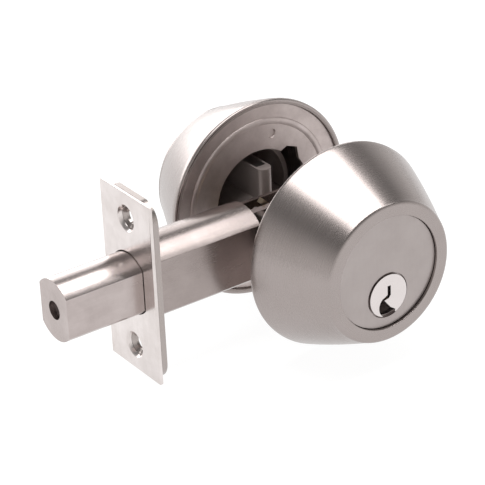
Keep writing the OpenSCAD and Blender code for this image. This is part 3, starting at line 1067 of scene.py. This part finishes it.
@dataclass(frozen=True)
class Lamp:
    """One soft area light."""

    name: str
    place: Point
    size: tuple[float, float]
    watts: float
    target: Point = (0.03, 0.0, 0.0)

    def light(self) -> None:
        """Adds the light, turned to its target."""
        Bench.clear()
        bpy.ops.object.light_add(type="AREA", location=self.place)
        lamp = bpy.context.active_object
        lamp.name = self.name
        lamp.data.shape = "RECTANGLE"
        lamp.data.size, lamp.data.size_y = self.size
        lamp.data.energy = self.watts
        aim = Vector(self.target) - Vector(self.place)
        lamp.rotation_euler = aim.to_track_quat("-Z", "Y").to_euler()


@dataclass(frozen=True)
class Camera:
    """The main view: turned about the lock, with a slight roll."""

    azimuth: float = -34.305
    elevation: float = 27.905
    roll: float = -2.642
    distance: float = 685.805
    across: float = 16.829
    up: float = 6.783
    focal_widths: float = 4.72084

    def shoot(self, cross_x: float) -> None:
        """Places the camera round the cross axis."""
        az, el, roll = (math.radians(v) for v in (self.azimuth, self.elevation, self.roll))
        back = Vector((math.sin(az) * math.cos(el), -math.cos(az) * math.cos(el), math.sin(el)))
        right = (-back).cross(Vector((0, 0, 1))).normalized()
        over = right.cross(-back)
        side = math.cos(roll) * right + math.sin(roll) * over
        top = -math.sin(roll) * right + math.cos(roll) * over
        place = back * self.distance - side * self.across - top * self.up
        place = place * MM + Vector((cross_x, 0, 0))
        bpy.ops.object.camera_add()
        camera = bpy.context.active_object
        camera.name = "main_camera"
        camera.data.sensor_width = 36.0
        camera.data.lens = 36.0 * self.focal_widths
        camera.data.clip_start = 0.01
        turn = Matrix((side, top, back)).transposed().to_4x4()
        camera.matrix_world = Matrix.Translation(place) @ turn
        bpy.context.scene.camera = camera


class Studio:
    """The pale floor, soft lights, grey surround and camera."""

    floor_glow: float = 0.93
    levels: tuple[tuple[float, float], ...] = (
        (0.0, 1.0), (0.1, 0.95), (0.3, 0.7), (0.45, 0.52), (0.6, 0.22), (0.85, 0.3))
    lamps: tuple[Lamp, ...] = (
        Lamp("key_softbox", (0.08, 0.03, 0.75), (0.74, 0.54), 5.8, target=(0.08, 0.0, 0.0)),
        Lamp("front_softbox", (0.50, -0.32, 0.72), (0.26, 0.26), 0.45),
        Lamp("rear_softbox", (0.0, 1.1, 0.2), (1.2, 0.42), 4.5),
        Lamp("back_softbox", (0.42, 0.78, 0.42), (0.75, 0.42), 1.5),
    )

    def floor(self) -> None:
        """Adds a wide pale floor under the lowest point."""
        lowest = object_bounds()[0][2]
        Bench.clear()
        bpy.ops.mesh.primitive_plane_add(size=6.0, location=(0, 0, lowest - 0.0002))
        plane = Bench.settle("studio_floor")
        board = Board("studio_floor")
        coords = board.node("ShaderNodeTexCoord", output="Object")
        grain = board.noise(coords, 40.0)
        colour = board.mix(grain * 0.3, (0.13, 0.13, 0.13, 1.0), (0.11, 0.11, 0.11, 1.0))
        shader = board.node("ShaderNodeBsdfPrincipled",
                            inputs={"Base Color": colour, "Roughness": 0.9,
                                    "Emission Color": (1.0, 1.0, 1.0, 1.0),
                                    "Emission Strength": self.floor_glow})
        plane.data.materials.append(board.surface(shader))
        plane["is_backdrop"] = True

    def surround(self) -> None:
        """Lights the room softly: bright at eye level, dim overhead."""
        world = bpy.data.worlds.new("studio_surround")
        world.use_nodes = True
        bpy.context.scene.world = world
        tree = world.node_tree
        tree.nodes.clear()
        coords = tree.nodes.new("ShaderNodeTexCoord")
        split = tree.nodes.new("ShaderNodeSeparateXYZ")
        ramp = tree.nodes.new("ShaderNodeValToRGB")
        for place, level in self.levels:
            element = ramp.color_ramp.elements.new(place)
            element.color = (level, level * 0.99, level * 0.98, 1.0)
        ramp.color_ramp.elements.remove(ramp.color_ramp.elements[-1])
        backdrop = tree.nodes.new("ShaderNodeBackground")
        backdrop.inputs["Strength"].default_value = 1.0
        output = tree.nodes.new("ShaderNodeOutputWorld")
        tree.links.new(coords.outputs["Generated"], split.inputs[0])
        tree.links.new(split.outputs["Z"], ramp.inputs[0])
        tree.links.new(ramp.outputs[0], backdrop.inputs["Color"])
        tree.links.new(backdrop.outputs[0], output.inputs[0])

    def build(self, cross_x: float) -> None:
        """Sets up the whole studio."""
        self.floor()
        self.surround()
        for lamp in self.lamps:
            lamp.light()
        Camera().shoot(cross_x)
        bpy.context.scene.view_settings.view_transform = "Standard"


def main() -> None:
    """Builds every assembly in order and reports each piece."""
    logging.basicConfig(level=logging.INFO, format="%(name)s: %(message)s")
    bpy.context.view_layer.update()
    low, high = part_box("ext_collar")
    cross_x = (low.x + high.x) / 2
    dresser = Dresser(cross_x)
    EdgePlates(dresser).build()
    BoltCase(dresser).build()
    BoltAssembly(dresser).build()
    for side in Side:
        Trim(dresser, side).build()
        LockCylinder(dresser, side).build()
    ThroughBolts(dresser).build()
    Studio().build(cross_x)


if __name__ == "__main__":
    main()
